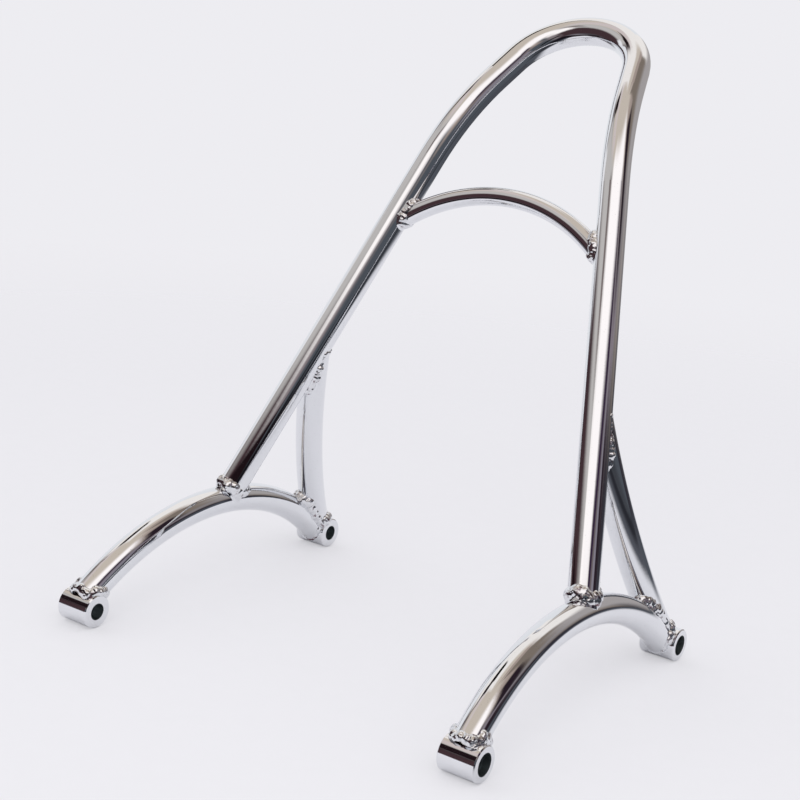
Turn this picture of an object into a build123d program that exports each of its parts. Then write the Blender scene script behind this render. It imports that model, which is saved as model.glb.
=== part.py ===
from build123d import *
from math import acos, asin, atan2, cos, degrees, hypot, radians, sin, tan
import os

# A welded tube sissy bar for the back of a motorbike seat, chrome plated.
# X runs across the bar (+X is the rider's left), +Y is rearward and +Z is up.
# The origin lies on the ground, midway along the bar's whole length and width.
# All sizes are millimetres and degrees.

# Tube stock
tube_diameter = 22.2
tube_wall = 2.6
cross_diameter = 14.4
cross_wall = 2.0

# Mounting bosses, turned bushes whose bores run across the bar; they are a rim fatter
# than the tube all round, and a shoulder for the weld stands out on either side of it
mount_width = 334.0
mount_spacing = 279.0
boss_rim = 1.4
boss_shoulder = 2.9
boss_edge = 0.8
bolt_bore = 12.5
mouth_bore = 15.5
mouth_depth = 6.0

# Side arches, arcs over the bosses that lean inwards at the top; each arc is wider
# than the boss spacing by twice its reach and sits a little forward of their middle
arch_rise = 55.9
arch_reach = 2.3
arch_forward = 6.0
arch_lean = 5.0
arch_front_end = 6.0
arch_rear_end = 0.0

# Hoop, two tapering legs bent further back below the round top loop
hoop_foot_rear = 5.1
hoop_lean = 24.5
hoop_bend_height = 348.7
hoop_bend_angle = 24.0
hoop_bend_radius = 212.0
loop_height = 106.4
loop_radius = 55.3

# Cross brace, bowed upwards between the legs
cross_height = 242.1
cross_rise = 41.3
cross_lean = 20.8

# Rear braces, bowed forwards, from the legs to the rear bosses
brace_height = 137.0
brace_bow = 10.1

# Coped tube ends stop this far short of the other tube's centreline
cope_trim = 3.0

# Weld beads, measured out from each of the surfaces that they join
weld_leg = 4.0
cross_weld_leg = 3.2

boss_radius = tube_diameter / 2 + boss_rim
boss_length = tube_diameter + 2 * boss_shoulder
arch_half = mount_spacing / 2 + arch_reach
arch_radius = (arch_half**2 + arch_rise**2) / (2 * arch_rise)


def follow(path, profile):
    """Carries a profile along the lines and arcs of a path."""
    pieces = []
    for edge in path:
        section = Plane(origin=edge @ 0, z_dir=edge % 0) * profile
        if edge.geom_type == GeomType.LINE:
            pieces.append(extrude(section, edge.length))
        else:
            turn = Axis(edge.arc_center, edge.normal())
            pieces.append(revolve(section, axis=turn, revolution_arc=degrees(edge.length / edge.radius)))
    return pieces[0].fuse(*pieces[1:]) if len(pieces) > 1 else pieces[0]


def rod(path, diameter):
    """Solid round bar along a path."""
    return follow(path, Circle(diameter / 2))


def tube(path, diameter, wall):
    """Round tube along a path, with open ends."""
    return follow(path, Circle(diameter / 2) - Circle(diameter / 2 - wall))


def bow(start, end, toward, rise):
    """Arc from start to end whose middle stands off the chord by rise, toward a direction."""
    chord = (end - start).normalized()
    off = (toward - chord * toward.dot(chord)).normalized()
    return [ThreePointArc(start, (start + end) / 2 + off * rise, end)]


def bent_leg(start, corner, end, radius):
    """Straight, bend and straight, from start past a corner to end."""
    before = (start - corner).normalized()
    after = (end - corner).normalized()
    half = radians(before.get_angle(after)) / 2
    middle = (before + after).normalized()
    first = corner + before * (radius / tan(half))
    last = corner + after * (radius / tan(half))
    crest = corner + middle * (radius / sin(half) - radius)
    return [Line(start, first), ThreePointArc(first, crest, last), Line(last, end)]


def arch_point(side, angle):
    """Point of an arch's centreline, at an angle from its crown (rearward positive)."""
    up = Vector(-side * sin(radians(arch_lean)), 0, cos(radians(arch_lean)))
    foot = Vector(side * mount_width / 2, -arch_forward, boss_radius)
    height = arch_rise - arch_radius + arch_radius * cos(radians(angle))
    return foot + Vector(0, arch_radius * sin(radians(angle)), 0) + up * height


def arch_angle(height):
    """Angle from the crown at which an arch's centreline is this high above the boss axes."""
    return degrees(acos((arch_radius - arch_rise + height) / arch_radius))


def arch_path(front_end, rear_end):
    front = arch_point(1, -arch_angle(front_end))
    rear = arch_point(1, arch_angle(rear_end))
    return [ThreePointArc(front, arch_point(1, 0), rear)]


def boss_axis(side, end):
    return Vector(side * mount_width / 2, end * mount_spacing / 2, boss_radius)


def boss_place(end):
    return Plane(origin=boss_axis(1, end), z_dir=(1, 0, 0))


def boss(end):
    """Boss with chamfered rims, a bolt bore and a wider mouth on its outer face."""
    body = Cylinder(boss_radius, boss_length)
    body = chamfer(body.edges().filter_by(GeomType.CIRCLE), boss_edge)
    body -= Cylinder(bolt_bore / 2, boss_length)
    mouth = Cylinder(mouth_bore / 2, mouth_depth)
    body -= Pos(0, 0, boss_length / 2 - mouth_depth / 2) * mouth
    return boss_place(end) * body


# Hoop: the foot stands on the arch's centreline, and the taper follows from the loop
foot = arch_point(1, degrees(asin((hoop_foot_rear + arch_forward) / arch_radius)))
loop_middle = hoop_bend_height + loop_height - loop_radius
taper = acos(loop_radius / hypot(foot.X, loop_middle)) - atan2(loop_middle, foot.X)
lower_up = Vector(0, sin(radians(hoop_lean)), cos(radians(hoop_lean)))
upper_lean = radians(hoop_lean + hoop_bend_angle)
upper_up = Vector(0, sin(upper_lean), cos(upper_lean))


def leg_point(side, along):
    """Point of a leg's centreline below the bend, at a distance up the leaning plane."""
    across = foot.X - along * tan(taper)
    return Vector(side * across, foot.Y, foot.Z) + lower_up * along


def loop_point(across, along):
    """Point of the upper plane, across the bar and up from the bend."""
    middle = Vector(0, foot.Y, foot.Z) + lower_up * hoop_bend_height
    return middle + Vector(across, 0, 0) + upper_up * along


def hoop_path():
    tangent_up = loop_height - loop_radius + loop_radius * sin(taper)
    tangent_out = loop_radius * cos(taper)
    path = [
        ThreePointArc(
            loop_point(tangent_out, tangent_up),
            loop_point(0, loop_height),
            loop_point(-tangent_out, tangent_up),
        )
    ]
    for side in (1, -1):
        start = leg_point(side, cope_trim)
        corner = leg_point(side, hoop_bend_height)
        end = loop_point(side * tangent_out, tangent_up)
        path += bent_leg(start, corner, end, hoop_bend_radius)
    return path


def cross_path():
    up = Vector(0, sin(radians(cross_lean)), cos(radians(cross_lean)))
    return bow(leg_point(1, cross_height), leg_point(-1, cross_height), up, cross_rise)


def brace_path():
    whole = bow(leg_point(1, brace_height), boss_axis(1, 1), Vector(0, -1, 0), brace_bow)[0]
    return [whole.trim(cope_trim / whole.length, 1)]


# The bar is shaped about the middle of its four bosses, then moved to its origin
rear_reach = max(loop_point(0, loop_height).Y + tube_diameter / 2, mount_spacing / 2 + boss_radius)
front_reach = mount_spacing / 2 + boss_radius
to_origin = Pos(0, (front_reach - rear_reach) / 2, 0)

# Solid bars of the left side, plain and grown by a weld leg
hoop_bar = rod(hoop_path(), tube_diameter)
hoop_grown = rod(hoop_path(), tube_diameter + 2 * weld_leg)
cross_bar = rod(cross_path(), cross_diameter)
arch_bar = rod(arch_path(arch_front_end, arch_rear_end), tube_diameter)
arch_grown = rod(arch_path(0, 0), tube_diameter + 2 * weld_leg)
brace_bar = rod(brace_path(), tube_diameter)
brace_grown = rod(brace_path(), tube_diameter + 2 * weld_leg)
front_bar = boss_place(-1) * Cylinder(boss_radius, boss_length)
rear_bar = boss_place(1) * Cylinder(boss_radius, boss_length)
front_grown = boss_place(-1) * Cylinder(boss_radius + weld_leg, boss_length - 2 * boss_edge)
rear_grown = boss_place(1) * Cylinder(boss_radius + weld_leg, boss_length - 2 * boss_edge)

# Tubes, coped to what they stand on
arch = tube(arch_path(arch_front_end, arch_rear_end), tube_diameter, tube_wall) - front_bar - rear_bar
brace = tube(brace_path(), tube_diameter, tube_wall) - rear_bar - arch_bar - hoop_bar
hoop = tube(hoop_path(), tube_diameter, tube_wall) - arch_bar - mirror(arch_bar, about=Plane.YZ)
cross_brace = tube(cross_path(), cross_diameter, cross_wall) - hoop_bar

# Side of the leg that the brace comes to, as far as a weld leg past the leg's centreline
brace_top = leg_point(1, brace_height)
leg_up = (brace_top - leg_point(1, 0)).normalized()
brace_down = brace_path()[0] % 0
brace_away = (brace_down - leg_up * brace_down.dot(leg_up)).normalized()
brace_reach = Pos(0, 0, mount_width / 2) * Box(mount_width, mount_width, mount_width)
brace_side = Plane(origin=brace_top - brace_away * weld_leg, z_dir=brace_away) * brace_reach

# Weld beads, where the grown bars meet outside the bars themselves
weld_hoop = (hoop_grown & arch_grown) - hoop_bar - arch_bar
cross_grown = rod(cross_path(), cross_diameter + 2 * cross_weld_leg)
cross_seat = rod(hoop_path(), tube_diameter + 2 * cross_weld_leg)
left_half = Pos(mount_width / 2, 0, 0) * Box(mount_width, 4 * mount_width, 4 * mount_width)
weld_cross = (cross_grown & cross_seat & left_half) - cross_bar - hoop_bar
weld_front = (arch_grown & front_grown) - arch_bar - front_bar
weld_rear = (rear_grown & (arch_grown + brace_grown)) - arch_bar - rear_bar - brace_bar
weld_brace_top = (brace_grown & hoop_grown & brace_side) - brace_bar - hoop_bar
rear_clear = boss_place(1) * Cylinder(boss_radius + weld_leg, 2 * boss_length)
weld_brace_foot = (brace_grown & arch_grown) - brace_bar - arch_bar - rear_clear

paired = {
    "arch": arch,
    "brace": brace,
    "boss_front": boss(-1),
    "boss_rear": boss(1),
    "weld_hoop": weld_hoop,
    "weld_cross": weld_cross,
    "weld_front": weld_front,
    "weld_rear": weld_rear,
    "weld_brace_top": weld_brace_top,
    "weld_brace_foot": weld_brace_foot,
}
os.makedirs("parts", exist_ok=True)
export_step(to_origin * hoop, "parts/hoop.step")
export_step(to_origin * cross_brace, "parts/cross_brace.step")
for name, shape in paired.items():
    export_step(to_origin * shape, "parts/" + name + "_left.step")
    export_step(to_origin * mirror(shape, about=Plane.YZ), "parts/" + name + "_right.step")
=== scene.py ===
from math import acos, asin, atan2, cos, degrees, hypot, radians, sin, tan

import bpy
import numpy as np
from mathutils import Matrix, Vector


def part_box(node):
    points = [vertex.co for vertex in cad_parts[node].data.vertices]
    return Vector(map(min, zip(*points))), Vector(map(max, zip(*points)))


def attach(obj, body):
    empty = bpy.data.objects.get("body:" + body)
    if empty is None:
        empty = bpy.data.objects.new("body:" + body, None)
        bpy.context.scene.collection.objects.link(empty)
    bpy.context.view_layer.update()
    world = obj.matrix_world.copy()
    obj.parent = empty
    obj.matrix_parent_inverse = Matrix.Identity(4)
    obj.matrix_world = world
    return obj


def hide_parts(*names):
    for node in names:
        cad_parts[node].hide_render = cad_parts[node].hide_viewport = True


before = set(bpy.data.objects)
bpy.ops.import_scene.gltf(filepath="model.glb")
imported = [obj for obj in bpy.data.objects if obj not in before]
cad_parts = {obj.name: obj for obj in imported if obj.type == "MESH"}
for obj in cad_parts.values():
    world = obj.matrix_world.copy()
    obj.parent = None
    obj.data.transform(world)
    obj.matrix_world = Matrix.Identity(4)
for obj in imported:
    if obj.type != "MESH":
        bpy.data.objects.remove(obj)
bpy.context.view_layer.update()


# Mounting bosses: four turned steel bushes that the bar stands on and is bolted through.
# They are plated with the frame, and the faced ends keep faint rings from the lathe. The colour
# inside the bolt bores and their mouths is painted dark: painted shade in the recesses.
class Wire:
    """An output of a node, so that a sum on it reads as a sum."""

    def __init__(self, tree, socket=None):
        self.tree = tree
        self.socket = socket

    def node(self, kind, settings=None, inputs=None, out=0):
        """Adds a node of any kind: its settings first, then its sockets' values or links."""
        added = self.tree.nodes.new(kind)
        for name, value in (settings or {}).items():
            setattr(added, name, value)
        for name, value in (inputs or {}).items():
            if isinstance(value, Wire):
                value.feed(added.inputs[name])
            else:
                added.inputs[name].default_value = value
        return Wire(self.tree, added.outputs[out] if added.outputs else None)

    def feed(self, socket):
        """Links this output to an input."""
        self.tree.links.new(self.socket, socket)

    def maths(self, operation, *terms):
        return self.node("ShaderNodeMath", {"operation": operation}, dict(enumerate(terms)))

    def __add__(self, other):
        return self.maths("ADD", self, other)

    def __radd__(self, other):
        return self.maths("ADD", other, self)

    def __sub__(self, other):
        return self.maths("SUBTRACT", self, other)

    def __rsub__(self, other):
        return self.maths("SUBTRACT", other, self)

    def __mul__(self, other):
        return self.maths("MULTIPLY", self, other)

    def __rmul__(self, other):
        return self.maths("MULTIPLY", other, self)

    def __abs__(self):
        return self.maths("ABSOLUTE", self)

    def part(self, axis):
        """One coordinate of a place or direction."""
        return self.node("ShaderNodeSeparateXYZ", {}, {0: self}, axis)

    def fade(self, low, high, start=0.0, end=1.0):
        """Smooth step from start at low to end at high."""
        return self.node(
            "ShaderNodeMapRange",
            {"interpolation_type": "SMOOTHSTEP"},
            {"Value": self, "From Min": low, "From Max": high, "To Min": start, "To Max": end},
        )

    def mix(self, first, second):
        """Two colours mixed by this mask; 6, 7 and 2 are the Mix node's colour sockets."""
        paint = {"data_type": "RGBA"}
        return self.node("ShaderNodeMix", paint, {0: self, 6: first, 7: second}, 2)

    def noise(self, scale, detail=2.0, roughness=0.5):
        """Noise over a place."""
        sockets = {"Vector": self, "Scale": scale, "Detail": detail, "Roughness": roughness}
        return self.node("ShaderNodeTexNoise", {}, sockets)

    def bump(self, strength, distance):
        """The normal of a surface with this relief."""
        relief = {"Strength": strength, "Distance": distance, "Height": self}
        return self.node("ShaderNodeBump", {}, relief)


def metal(name):
    """An empty metal finish: its tree, its shader's sockets and its object coordinates."""
    finish = bpy.data.materials.new(name)
    finish.use_nodes = True
    tree = Wire(finish.node_tree)
    shader = finish.node_tree.nodes["Principled BSDF"].inputs
    shader["Metallic"].default_value = 1.0
    place = tree.node("ShaderNodeTexCoord", out="Object")
    return finish, tree, shader, place


def dress(node, finish):
    """Gives a solid of the frame its finish."""
    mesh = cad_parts[node].data
    mesh.materials.clear()
    mesh.materials.append(finish)


SIDES = {"left": 1, "right": -1}
boss_low, boss_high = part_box("boss_front_left")
rear_low, rear_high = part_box("boss_rear_left")
boss_radius = (boss_high.z - boss_low.z) / 2
boss_middle = (boss_low.y + rear_high.y) / 2
boss_half = (rear_low.y + rear_high.y) / 2 - boss_middle
boss_across = (boss_low.x + boss_high.x) / 2
bolt_radius = 0.00625
mouth_radius = 0.00775
mouth_depth = 0.006
mouth_floor = boss_high.x - mouth_depth
rim_blur = 0.0002
floor_blur = 0.0003
lathe_rings = 14000.0  # radians of ring for each metre out from the bore
boss_plate_deep = (0.79, 0.80, 0.82, 1)
boss_plate_pale = (0.84, 0.85, 0.87, 1)
# Painted shade: the colour given to the inside of the bores and their mouths
bore_painted_shade = (0.20, 0.235, 0.245, 1)

boss_chrome, tree, shader, place = metal("boss_chrome")
across = abs(place.part("X"))
fore = abs(place.part("Y") - boss_middle) - boss_half
lift = place.part("Z") - boss_radius
off_axis = tree.maths("POWER", fore * fore + lift * lift, 0.5)
bolt = off_axis.fade(bolt_radius, bolt_radius + rim_blur, 1.0, 0.0)
mouth = off_axis.fade(mouth_radius, mouth_radius + rim_blur, 1.0, 0.0)
mouth = mouth * across.fade(mouth_floor - floor_blur, mouth_floor)
bore = tree.maths("MAXIMUM", bolt, mouth)
rings = tree.maths("SINE", off_axis * lathe_rings)
haze = place.noise(scale=90.0, detail=4.0, roughness=0.6)
plate = haze.mix(boss_plate_deep, boss_plate_pale)
# Painted shade: the bores and their mouths take a dark colour that stands in for the shade
# inside them
bore.mix(plate, bore_painted_shade).feed(shader["Base Color"])
(0.03 + 0.05 * haze + 0.4 * bore).feed(shader["Roughness"])
rings.bump(strength=0.06, distance=0.00002).feed(shader["Normal"])
for side in SIDES:
    dress("boss_front_" + side, boss_chrome)
    dress("boss_rear_" + side, boss_chrome)


# Side arches, hoop, cross brace and rear braces: bent steel tubes, polished lengthwise and
# plated bright. The plate mirrors sharply, with a faint ripple left by the polishing wheel
# and a little haze where the wheel could not reach.
tube_plate_deep = (0.79, 0.805, 0.83, 1)
tube_plate_pale = (0.83, 0.84, 0.86, 1)
speck_grey = (0.62, 0.63, 0.65, 1)

tube_chrome, tree, shader, place = metal("tube_chrome")
haze = place.noise(scale=26.0, detail=5.0, roughness=0.55)
specks = place.noise(scale=900.0).fade(0.66, 0.78)
plate = haze.mix(tube_plate_deep, tube_plate_pale)
specks.mix(plate, speck_grey).feed(shader["Base Color"])
(0.018 + 0.05 * haze * haze + 0.05 * specks).feed(shader["Roughness"])
ripple = place.noise(scale=45.0) + 0.25 * place.noise(scale=400.0)
ripple.bump(strength=0.10, distance=0.0003).feed(shader["Normal"])
for node in ("hoop", "cross_brace", "arch_left", "arch_right", "brace_left", "brace_right"):
    dress(node, tube_chrome)


# Weld beads: rows of overlapping puddles laid by hand round every joint, then plated with
# the rest. The lumps are uneven, and dark brown patches from a noise are painted over them
# as painted shade for the pits between the lumps. Each bead is laid along a seam of the left
# side; those of the right side are mirrored, with other lumps.
tube_radius = 0.0111
cross_radius = 0.0072
arch_rise = 0.0559
arch_reach = 0.0023
arch_forward = 0.006
arch_front_end = 0.006
arch_lean = radians(5.0)
hoop_foot_rear = 0.0051
hoop_lean = radians(24.5)
hoop_bend_height = 0.3487
loop_height = 0.1064
loop_radius = 0.0553
cross_height = 0.2421
cross_rise = 0.0413
cross_lean = radians(20.8)
brace_height = 0.137
brace_bow = 0.0101

rear_boss = np.array([boss_across, boss_middle + boss_half, boss_radius])
front_boss = np.array([boss_across, boss_middle - boss_half, boss_radius])
arch_half = boss_half + arch_reach
arch_radius = (arch_half**2 + arch_rise**2) / (2 * arch_rise)
arch_up = np.array([-sin(arch_lean), 0, cos(arch_lean)])
arch_foot = np.array([boss_across, boss_middle - arch_forward, boss_radius])
arch_centre = arch_foot + arch_up * (arch_rise - arch_radius)


def arch_rail(angle):
    """Point of the arch's centreline at an angle from its crown, and the way along it."""
    turn = arch_up * cos(angle) + np.array([0, sin(angle), 0])
    along = np.array([0, cos(angle), 0]) - arch_up * sin(angle)
    return arch_centre + arch_radius * turn, along


foot = arch_rail(asin((hoop_foot_rear + arch_forward) / arch_radius))[0]
hoop_up = np.array([0, sin(hoop_lean), cos(hoop_lean)])
loop_middle = hoop_bend_height + loop_height - loop_radius
taper = acos(loop_radius / hypot(foot[0], loop_middle)) - atan2(loop_middle, foot[0])
leg_along = hoop_up + np.array([-tan(taper), 0, 0])
leg_along /= np.linalg.norm(leg_along)


def leg_point(along):
    return foot + hoop_up * along - np.array([along * tan(taper), 0, 0])


def leg_rail(along):
    return leg_point(along), -leg_along


def bow(start, end, toward, rise):
    """Rail of the arc between two points whose middle stands off the chord by a rise."""
    chord = end - start
    half = np.linalg.norm(chord) / 2
    chord = chord / (2 * half)
    off = toward - chord * toward.dot(chord)
    off /= np.linalg.norm(off)
    radius = (half**2 + rise**2) / (2 * rise)
    centre = (start + end) / 2 - off * (radius - rise)
    reach = asin(half / radius)

    def rail(share):
        angle = reach * (2 * share - 1)
        point = centre + radius * (off * cos(angle) + chord * sin(angle))
        return point, chord * cos(angle) - off * sin(angle)

    return rail


cross_end = leg_point(cross_height)
cross_far = cross_end * np.array([-1, 1, 1])
cross_toward = np.array([0, sin(cross_lean), cos(cross_lean)])
cross_rail = bow(cross_far, cross_end, cross_toward, cross_rise)
brace_rail = bow(leg_point(brace_height), rear_boss, np.array([0, -1.0, 0]), brace_bow)


def off_arch(points):
    """How far points lie off the arch's skin; the functions below do this for the others."""
    normal = np.cross(arch_up, np.array([0, 1.0, 0]))
    away = points - arch_centre
    height = away @ normal
    flat = np.linalg.norm(away - height[:, None] * normal, axis=1)
    return np.hypot(height, flat - arch_radius) - tube_radius


def off_line(points, through, along, radius):
    away = points - through
    return np.linalg.norm(away - (away @ along)[:, None] * along, axis=1) - radius


def off_leg(points):
    return off_line(points, foot, leg_along, tube_radius)


def off_rear(points):
    return off_line(points, rear_boss, np.array([1.0, 0, 0]), boss_radius)


def off_front(points):
    return off_line(points, front_boss, np.array([1.0, 0, 0]), boss_radius)


def off_arch_or_rear(points):
    return np.minimum(off_arch(points), off_rear(points))


def off_rail(rail, low, high, radius):
    steps = 160
    line = np.array([rail(low + (high - low) * k / steps)[0] for k in range(steps + 1)])

    def off(points):
        away = np.linalg.norm(points[:, None, :] - line[None], axis=2)
        return away.min(axis=1) - radius

    return off


def slope(off, points):
    """Outward normal of a surface that is given by the distance off it."""
    step = 1e-5
    parts = [off(points + step * axis) - off(points - step * axis) for axis in np.eye(3)]
    normal = np.stack(parts, axis=1)
    return normal / np.linalg.norm(normal, axis=1, keepdims=True)


def seam(rail, far, end, radius, off):
    """Points round a tube where it first meets a surface, each with the tube's normal there,
    the way back up the tube and the corner's depth. The search goes from far to end."""
    steps = 240
    turns = 96
    no_rail = np.array([0.31, 0.17, 0.93])  # a direction that no tube runs in
    shares = [far + (end - far) * k / steps for k in range(steps + 1)]
    stations = [rail(share) for share in shares]
    centres = np.array([point for point, along in stations])
    alongs = np.array([along for point, along in stations])
    sideways = np.cross(alongs, no_rail)
    sideways /= np.linalg.norm(sideways, axis=1, keepdims=True)
    upward = np.cross(sideways, alongs)
    back = -np.gradient(centres, axis=0)
    back /= np.linalg.norm(back, axis=1, keepdims=True)
    found = []
    for turn in np.linspace(0, 2 * np.pi, turns, endpoint=False):
        outward = sideways * cos(turn) + upward * sin(turn)
        skin = centres + radius * outward
        clear = off(skin)
        met = np.nonzero(clear <= 0)[0]
        at = met[0] if len(met) else int(clear.argmin())
        face = slope(off, skin[at : at + 1])[0]
        depth = (1 - outward[at].dot(face)) / 2
        found.append((skin[at], outward[at], back[at], [depth] * 3))
    return np.array(found).transpose(1, 0, 2)


def everywhere(line):
    """Equally full all round."""
    return np.ones(len(line))


def inside(line):
    """Heaped in the crotch, full towards the bar's middle and dressed down elsewhere."""
    change = 0.010
    across, height = line[:, 0], line[:, 2]
    inward = np.clip(0.5 - (across - across.mean()) / change, 0, 1)
    crotch = np.clip(0.5 + (np.quantile(height, 0.4) - height) / change, 0, 1)
    return 0.45 + np.maximum(0.55 * inward, 0.85 * crotch)


def above_boss(line):
    """Full on top of the boss, a thin neat bead round the underside."""
    thin_below, change = 0.010, 0.012
    rise = np.clip((line[:, 2] - thin_below) / change, 0, 1)
    return 0.4 + 0.6 * rise * rise * (3 - 2 * rise)


brace_skin = off_rail(brace_rail, 0.0, 1.0, tube_radius)
cross_skin = off_rail(cross_rail, 0.5, 1.0, cross_radius)
front_angle = -acos((arch_radius - arch_rise + arch_front_end) / arch_radius)
rear_angle = acos((arch_radius - arch_rise) / arch_radius)

# Each bead: its seam, the skins it joins, the size of a puddle, how far it levels out the
# seam's dips, how far it climbs the tube, how proud it stands in an open corner and in a
# tight one, and where it is full.
beads = {
    "weld_hoop": {
        "found": seam(leg_rail, 0.05, 0.0, tube_radius, off_arch),
        "skins": (off_leg, off_arch),
        "puddle": 0.0042,
        "level": 1.0,
        "climb": 0.0020,
        "stand": (0.0020, 0.0042),
        "fill": everywhere,
    },
    "weld_cross": {
        "found": seam(cross_rail, 0.7, 1.0, cross_radius, off_leg),
        "skins": (cross_skin, off_leg),
        "puddle": 0.0034,
        "level": 0.5,
        "climb": 0.0015,
        "stand": (0.0014, 0.0034),
        "fill": everywhere,
    },
    "weld_front": {
        "found": seam(arch_rail, -0.4, front_angle, tube_radius, off_front),
        "skins": (off_arch, off_front),
        "puddle": 0.0040,
        "level": 0.1,
        "climb": 0.0050,
        "stand": (0.0022, 0.0027),
        "fill": above_boss,
    },
    "weld_rear": {
        "found": seam(arch_rail, 0.4, rear_angle, tube_radius, off_rear),
        "skins": (off_arch, off_rear),
        "puddle": 0.0040,
        "level": 0.1,
        "climb": 0.0040,
        "stand": (0.0022, 0.0027),
        "fill": above_boss,
    },
    "weld_brace_top": {
        "found": seam(brace_rail, 0.6, 0.0, tube_radius, off_leg),
        "skins": (brace_skin, off_leg),
        "puddle": 0.0036,
        "level": 0.0,
        "climb": 0.0010,
        "stand": (0.0012, 0.0036),
        "fill": inside,
    },
    "weld_brace_foot": {
        "found": seam(brace_rail, 0.4, 1.0, tube_radius, off_arch_or_rear),
        "skins": (brace_skin, off_arch_or_rear),
        "puddle": 0.0040,
        "level": 0.1,
        "climb": 0.0030,
        "stand": (0.0012, 0.0036),
        "fill": above_boss,
    },
}

weld_plate_deep = (0.72, 0.73, 0.75, 1)
weld_plate_pale = (0.84, 0.85, 0.87, 1)
# Painted shade: the colour of the shaded pits between the weld lumps
pit_painted_shade = (0.15, 0.085, 0.105, 1)

weld_chrome, tree, shader, place = metal("weld_chrome")
grain = place.noise(scale=300.0, detail=3.0, roughness=0.55)
# Painted shade: dark brown patches from a noise stand in for the shaded pits between the lumps
pit_shade_mask = place.noise(scale=190.0, detail=3.0, roughness=0.55).fade(0.56, 0.70)
plate = grain.mix(weld_plate_deep, weld_plate_pale)
pit_shade_mask.mix(plate, pit_painted_shade).feed(shader["Base Color"])
(0.05 + 0.08 * grain + 0.2 * pit_shade_mask).feed(shader["Roughness"])
grain.bump(strength=0.15, distance=0.0003).feed(shader["Normal"])


def bead_tree():
    """Puddles along a closed line: squashed balls on a thin core, all of them uneven."""
    smallest, largest = (0.80, 0.80, 0.65), (1.16, 1.16, 1.00)
    stray = 0.18
    core_share = 0.85
    group = bpy.data.node_groups.new("weld_puddles", "GeometryNodeTree")
    face = group.interface
    face.new_socket("Geometry", in_out="INPUT", socket_type="NodeSocketGeometry")
    sizes = {
        "Puddle": "NodeSocketFloat",
        "Spacing": "NodeSocketFloat",
        "Seed": "NodeSocketInt",
        "Plate": "NodeSocketMaterial",
    }
    for name, kind in sizes.items():
        face.new_socket(name, in_out="INPUT", socket_type=kind)
    face.new_socket("Geometry", in_out="OUTPUT", socket_type="NodeSocketGeometry")
    given = Wire(group).node("NodeGroupInput", out="Geometry")
    outputs = given.socket.node.outputs
    puddle, spacing, seed, plate = (Wire(group, outputs[name]) for name in sizes)
    line = given.node("GeometryNodeMeshToCurve", {}, {0: given})
    sockets = {"Curve": line, "Length": spacing}
    evenly = given.node("GeometryNodeResampleCurve", {"mode": "LENGTH"}, sockets)
    along = given.node("GeometryNodeInputTangent")
    facing = given.node("FunctionNodeAlignRotationToVector", {"axis": "Z"}, {"Vector": along})
    vector = {"data_type": "FLOAT_VECTOR"}
    sockets = {0: smallest, 1: largest, "Seed": seed}
    size = given.node("FunctionNodeRandomValue", vector, sockets)
    value = {"data_type": "FLOAT"}
    full = given.node("GeometryNodeInputNamedAttribute", value, {"Name": "fullness"})
    scaling = {"operation": "SCALE"}
    scale = given.node("ShaderNodeVectorMath", scaling, {0: size, "Scale": puddle * full})
    ball = given.node("GeometryNodeMeshIcoSphere", {}, {"Radius": 1.0, "Subdivisions": 3})
    sockets = {"Points": evenly, "Instance": ball, "Rotation": facing, "Scale": scale}
    puddles = given.node("GeometryNodeInstanceOnPoints", {}, sockets)
    sockets = {0: (-stray, -stray, -stray), 1: (stray, stray, stray), "Seed": seed + 7}
    swing = given.node("FunctionNodeRandomValue", vector, sockets)
    nudge = given.node("ShaderNodeVectorMath", scaling, {0: swing, "Scale": puddle})
    sockets = {0: puddles, "Translation": nudge, "Local Space": False}
    moved = given.node("GeometryNodeTranslateInstances", {}, sockets)
    sockets = {"Resolution": 16, "Radius": puddle * core_share}
    ring = given.node("GeometryNodeCurvePrimitiveCircle", {}, sockets)
    sockets = {"Curve": line, "Profile Curve": ring, "Scale": full}
    core = given.node("GeometryNodeCurveToMesh", {}, sockets)
    joined = given.node("GeometryNodeJoinGeometry", {}, {0: core})
    moved.feed(joined.socket.node.inputs[0])
    real = given.node("GeometryNodeRealizeInstances", {}, {0: joined})
    sockets = {"Geometry": real, "Material": plate}
    plated = given.node("GeometryNodeSetMaterial", {}, sockets)
    given.node("NodeGroupOutput", {}, {0: plated})
    return group


puddle_tree = bead_tree()
puddle_pitch = 0.85  # distance between puddles as a share of their size
least_proud = 0.0007
least_radius = 0.0018
skin_voxel = 0.00042
swell_count = 60
swell_proud = 0.0006
swell_width = (0.0011, 0.0026)
swell_height = (-0.34, 0.26)
seat_depth = 0.0008
bead_widest = 0.1807
bead_lowest = 0.0006


def input_key(name):
    items = puddle_tree.interface.items_tree
    return next(item.identifier for item in items if item.name == name)


def put(name, data):
    """A new object in the scene, at the origin."""
    thing = bpy.data.objects.new(name, data)
    bpy.context.scene.collection.objects.link(thing)
    return thing


def bead_line(found, puddle, level, climb, stand, fill):
    """Middle of a bead that climbs the tube from its seam, and the bead's radius along it."""
    skin, outward, back, depth = found
    deep = np.clip(depth[:, 0] / 0.4, 0, 1)
    tight = np.clip((depth[:, 0] - 0.55) / 0.4, 0, 1)
    height = (skin * back.mean(axis=0)).sum(axis=1)
    rise = level * (height.max() - height) + climb
    full = fill(skin)
    shallow, heaped = stand
    proud = full * (shallow + (heaped * (1 + 0.6 * tight) - shallow) * deep)
    proud = np.maximum(proud, least_proud)
    radius = full * (puddle * (0.5 + 0.5 * deep + 0.6 * tight) + 0.3 * rise)
    radius = np.maximum(radius, least_radius)
    sunk = np.maximum(radius - proud, 0)
    return skin + back * (0.5 * rise)[:, None] - outward * sunk[:, None], radius


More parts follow.
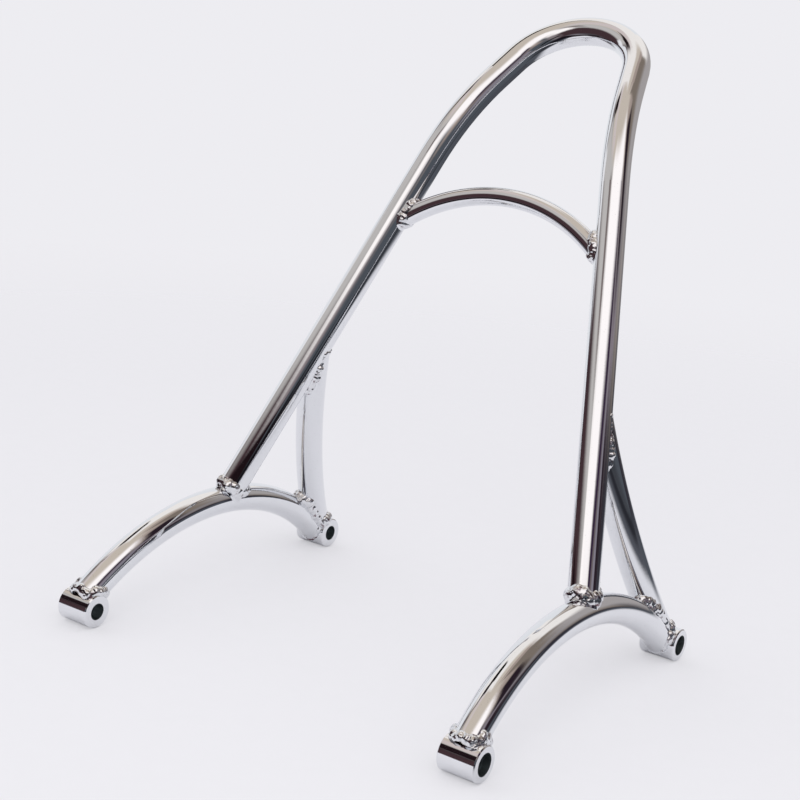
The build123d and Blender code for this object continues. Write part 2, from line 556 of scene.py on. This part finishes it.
def melt(name, line, radius, puddle, seed):
    """Lays puddles along a bead's line and melts them into one skin."""
    count = len(line)
    mesh = bpy.data.meshes.new(name)
    mesh.from_pydata(line.tolist(), [(k, (k + 1) % count) for k in range(count)], [])
    fullness = mesh.attributes.new("fullness", "FLOAT", "POINT")
    fullness.data.foreach_set("value", radius / puddle)
    bead = put(name, mesh)
    puddling = bead.modifiers.new("puddles", "NODES")
    puddling.node_group = puddle_tree
    puddling[input_key("Puddle")] = puddle
    puddling[input_key("Spacing")] = puddle * puddle_pitch
    puddling[input_key("Seed")] = seed
    puddling[input_key("Plate")] = weld_chrome
    fuse = bead.modifiers.new("fuse", "REMESH")
    fuse.mode = "VOXEL"
    fuse.voxel_size = skin_voxel
    settle = bead.modifiers.new("settle", "SMOOTH")
    settle.factor = 0.5
    settle.iterations = 12
    bpy.context.view_layer.update()
    evaluated = bead.evaluated_get(bpy.context.evaluated_depsgraph_get())
    fused = bpy.data.meshes.new_from_object(evaluated)
    bead.modifiers.clear()
    bead.data = fused
    bpy.data.meshes.remove(mesh)
    return bead


def read(mesh, what):
    values = np.empty(len(mesh.vertices) * 3)
    mesh.vertices.foreach_get(what, values)
    return values.reshape(-1, 3)


def dimple(points, normals, skins, seed):
    """Swells and hollows the bead in spots, as the puddles froze."""
    draw = np.random.default_rng(seed)
    clear = np.minimum(skins[0](points), skins[1](points))
    for spot in draw.choice(np.nonzero(clear > swell_proud)[0], swell_count):
        width = draw.uniform(*swell_width)
        near = np.clip(np.linalg.norm(points - points[spot], axis=1) / width, 0, 1)
        swell = draw.uniform(*swell_height) * width
        points += normals * (swell * (1 - near * near) ** 2)[:, None]


def seat(points, skins):
    """Draws what is buried up to just under the tubes' skins, and keeps it within the bosses."""
    for off in skins:
        buried = -seat_depth - off(points)
        under = buried > 0
        if under.any():
            points[under] += buried[under, None] * slope(off, points[under])
    points[:, 0] = np.minimum(points[:, 0], bead_widest)
    points[:, 2] = np.maximum(points[:, 2], bead_lowest)


def lay(name, sign, seed, found, skins, puddle, level, climb, stand, fill):
    """One bead, melted, dimpled and seated; a negative sign puts it on the right side."""
    line, radius = bead_line(found, puddle, level, climb, stand, fill)
    bead = melt(name, line, radius, puddle, seed)
    fused = bead.data
    points = read(fused, "co")
    dimple(points, read(fused, "normal"), skins, seed)
    seat(points, skins)
    points[:, 0] *= sign
    fused.vertices.foreach_set("co", points.ravel())
    if sign < 0:
        fused.flip_normals()
    fused.polygons.foreach_set("use_smooth", [True] * len(fused.polygons))
    fused.materials.clear()
    fused.materials.append(weld_chrome)
    fused.update()
    return bead


seed = 11
for weld, recipe in beads.items():
    for side, sign in SIDES.items():
        seed += 13
        bead = lay(weld + "_bead_" + side, sign, seed, **recipe)
        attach(bead, "root")
        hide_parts(weld + "_" + side)


# Stage: a pale paper sweep. Near the bar it takes the soft shadows; further out it fades
# into the pale surround. Seen in the chrome, the paper ends on several sides, and darker
# boards lie beyond.
def blank(owner):
    """An empty node tree on a material or world."""
    owner.use_nodes = True
    owner.node_tree.nodes.clear()
    return Wire(owner.node_tree)


def glow(tree, colour):
    return tree.node("ShaderNodeEmission", {}, {"Color": colour, "Strength": 1.0})


def blend(tree, share, first, second):
    return tree.node("ShaderNodeMixShader", {}, {0: share, 1: first, 2: second})


surround = (0.85, 0.845, 0.88, 1)
paper_grey = (0.80, 0.80, 0.82, 1)
paper_white = (0.83, 0.83, 0.85, 1)
floor_drop = 0.0002
floor_reach = 4.0
fade_start, fade_end = 0.7, 1.9

# Each end of the paper: its bearing in degrees, how far out it starts, how soft it is, and
# the colour of the boards beyond it
paper_ends = (
    (50, 0.72, 0.10, (0.150, 0.155, 0.150, 1)),
    (33, 0.385, 0.29, (0.089, 0.097, 0.115, 1)),
    (-27, 0.236, 0.10, (0.095, 0.100, 0.118, 1)),
    (-27, 0.34, 0.14, (0.026, 0.027, 0.034, 1)),
    (-27, 0.53, 0.09, (0.056, 0.060, 0.070, 1)),
    (-61, 0.40, 0.23, (0.008, 0.006, 0.010, 1)),
    (-140, 0.478, 0.035, (0.217, 0.201, 0.222, 1)),
    (-150, 0.77, 0.02, (0.082, 0.079, 0.089, 1)),
)

square = ((-1, -1), (1, -1), (1, 1), (-1, 1))
floor_mesh = bpy.data.meshes.new("floor")
floor_corners = [(u * floor_reach, v * floor_reach, 0) for u, v in square]
floor_mesh.from_pydata(floor_corners, [], [(0, 1, 2, 3)])
floor = put("floor", floor_mesh)
floor.location.z = -floor_drop
paper = bpy.data.materials.new("paper")
tree = blank(paper)
place = tree.node("ShaderNodeTexCoord", out="Object")
spread = tree.node("ShaderNodeVectorMath", {"operation": "LENGTH"}, {0: place}, "Value")
glossy_ray = tree.node("ShaderNodeLightPath", out="Is Glossy Ray")
camera_ray = tree.node("ShaderNodeLightPath", out="Is Camera Ray")
fibre = place.noise(scale=60.0, detail=4.0, roughness=0.6)
sheet = tree.node("ShaderNodeBsdfDiffuse", {}, {"Color": fibre.mix(paper_grey, paper_white)})
shown = blend(tree, camera_ray * 0.5, sheet, glow(tree, surround))
for bearing, distance, soft, boards in paper_ends:
    toward = (cos(radians(bearing)), sin(radians(bearing)), 0)
    dot = {"operation": "DOT_PRODUCT"}
    ahead = tree.node("ShaderNodeVectorMath", dot, {0: place, 1: toward}, "Value")
    beyond = glossy_ray * ahead.fade(distance, distance + soft)
    shown = blend(tree, beyond, shown, glow(tree, boards))
clear = tree.node("ShaderNodeBsdfTransparent")
faded = blend(tree, spread.fade(fade_start, fade_end), shown, clear)
tree.node("ShaderNodeOutputMaterial", {}, {"Surface": faded})
floor_mesh.materials.append(paper)


# Flags: dark cards that stand in front of the bar and hang over its far side, as are used to
# draw dark bands on chrome. They are felt on a board with a soft rim, and only the chrome
# sees them.
felt_black = (0.014, 0.007, 0.009, 1)

# Each flag: its name, its middle, half its width, half its height, and half its rim
flags = (
    ("low_flag", (-0.245, -0.32, 0.1375), (0.375, 0, 0), (0, 0, 0.0625), 0.015),
    ("high_flag", (-1.07, 0.065, 1.49), (0.26, 0, 0), (0, 0.13, 0), 0.04),
)

felt = bpy.data.materials.new("felt")
tree = blank(felt)
solid = tree.node("ShaderNodeAttribute", {"attribute_name": "solid"}, out="Fac")
clear = tree.node("ShaderNodeBsdfTransparent")
hung = blend(tree, solid, clear, glow(tree, felt_black))
tree.node("ShaderNodeOutputMaterial", {}, {"Surface": hung})
for name, middle, half_width, half_height, rim in flags:
    half_width, half_height = np.array(half_width), np.array(half_height)
    corners = []
    for grown in (-rim, rim):
        wide = half_width * (1 + grown / np.linalg.norm(half_width))
        tall = half_height * (1 + grown / np.linalg.norm(half_height))
        corners += [(np.array(middle) + u * wide + v * tall).tolist() for u, v in square]
    faces = [(0, 1, 2, 3)]
    faces += [(k, 4 + k, 4 + (k + 1) % 4, (k + 1) % 4) for k in range(4)]
    flag_mesh = bpy.data.meshes.new(name)
    flag_mesh.from_pydata(corners, [], faces)
    solid = flag_mesh.attributes.new("solid", "FLOAT", "POINT")
    solid.data.foreach_set("value", [1.0] * 4 + [0.0] * 4)
    flag_mesh.materials.append(felt)
    flag = put(name, flag_mesh)
    flag.visible_camera = False
    flag.visible_diffuse = False
    flag.visible_shadow = False
    flag.visible_transmission = False


# Studio: an even pale surround for the camera and the paper. In the chrome it shows as a
# dark room with a large soft light, a pale backdrop, a window, a beige wall and a ceiling.
# One soft lamp draws the shadows, and the camera looks from the photograph's viewpoint.
room = (0.037, 0.034, 0.044, 1)
fill_light = (0.93, 0.92, 0.95, 1)

# Each card: bearing and height of its middle, half its width, half its height and its soft
# edge, in degrees, how much it rises for each degree across, and its colour; a later card
# stands before the earlier ones
cards = (
    (-6, -3, 53, 24, 1.5, -0.18, (0.084, 0.094, 0.111, 1)),
    (-128, 12, 66, 40, 3, 0.01, (0.061, 0.034, 0.039, 1)),
    (-1, 82, 200, 31, 2, 0.05, (0.64, 0.56, 0.48, 1)),
    (19, 52, 65, 17, 9, 0.34, (0.42, 0.34, 0.30, 1)),
    (-161, 55, 41, 5, 1.5, -0.02, (0.69, 0.60, 0.58, 1)),
    (-137, 35, 41.5, 13, 6, 0.18, (0.58, 0.55, 0.53, 1)),
    (-175, 15, 7.5, 7, 3.5, 0.56, (0.92, 0.91, 0.93, 1)),
    (-109, 42, 9.5, 5, 3.5, 0.35, (0.21, 0.17, 0.165, 1)),
    (-43, 49, 53, 17, 9, 0.05, (1.21, 1.14, 1.12, 1)),
    (-81, 28, 21, 8, 6, -0.36, (1.22, 1.15, 1.12, 1)),
    (-61, 3, 9, 17, 8.5, -0.60, (0.27, 0.225, 0.235, 1)),
    (-10, 34, 21.5, 6.5, 6, 0.06, (0.030, 0.014, 0.041, 1)),
    (3, 20, 17, 8, 1.5, 0.35, (0.26, 0.235, 0.275, 1)),
    (32, 30, 15, 23.5, 4.5, -0.18, (0.023, 0.014, 0.021, 1)),
    (27, 23, 13, 2, 3, -0.45, (0.285, 0.24, 0.27, 1)),
    (52, 39, 16, 31.5, 4, -0.60, (0.225, 0.185, 0.155, 1)),
    (50, 19, 17, 4.5, 9, -0.12, (0.28, 0.26, 0.275, 1)),
    (120, 46, 55, 23.5, 5.5, 0.20, (0.98, 0.93, 0.89, 1)),
    (81, 14, 29.5, 15, 9, -0.44, (0.415, 0.385, 0.38, 1)),
    (141, 0, 38, 36, 1.5, -0.20, (0.86, 0.87, 0.90, 1)),
    (158, 52, 7, 6, 1.5, -0.05, (0.005, 0.005, 0.005, 1)),
    (-49, -3, 20.5, 3.5, 3, -0.06, (0.006, 0.005, 0.005, 1)),
)

world = bpy.data.worlds.new("studio")
bpy.context.scene.world = world
tree = blank(world)
way = tree.node("ShaderNodeTexCoord", out="Generated")
turn = tree.maths("ARCTAN2", way.part("Y"), way.part("X")) * degrees(1)
tilt = tree.maths("ARCSINE", way.part("Z")) * degrees(1)
for toward, up, half_turn, half_tilt, soft, slant, colour in cards:
    aside = tree.maths("WRAP", turn - toward, 180.0, -180.0)
    beside = abs(aside).fade(half_turn - soft, half_turn + soft, 1.0, 0.0)
    above = abs(tilt - up - slant * aside)
    level = above.fade(half_tilt - soft, half_tilt + soft, 1.0, 0.0)
    room = (beside * level).mix(room, colour)
camera_ray = tree.node("ShaderNodeLightPath", out="Is Camera Ray")
glossy_ray = tree.node("ShaderNodeLightPath", out="Is Glossy Ray")
seen = camera_ray.mix(glossy_ray.mix(fill_light, room), surround)
sky = tree.node("ShaderNodeBackground", {}, {"Color": seen, "Strength": 1.0})
tree.node("ShaderNodeOutputWorld", {}, {"Surface": sky})

lamp_data = bpy.data.lights.new("soft_light", "AREA")
lamp_data.shape = "RECTANGLE"
lamp_data.size = 1.2
lamp_data.size_y = 0.9
lamp_data.energy = 6.0
lamp = put("soft_light", lamp_data)
lamp.location = (0.52, -1.1, 1.55)
lamp.rotation_euler = (radians(38), 0, radians(25))
lamp.visible_glossy = False

eye_data = bpy.data.cameras.new("eye")
eye_data.lens = 71.50
eye_data.sensor_width = 36.0
eye = put("eye", eye_data)
eye.location = (0.61897, -0.97121, 0.45108)
eye.rotation_euler = (radians(76.5055), radians(-5.4349), radians(35.0634))
bpy.context.scene.camera = eye
bpy.context.scene.view_settings.view_transform = "Standard"
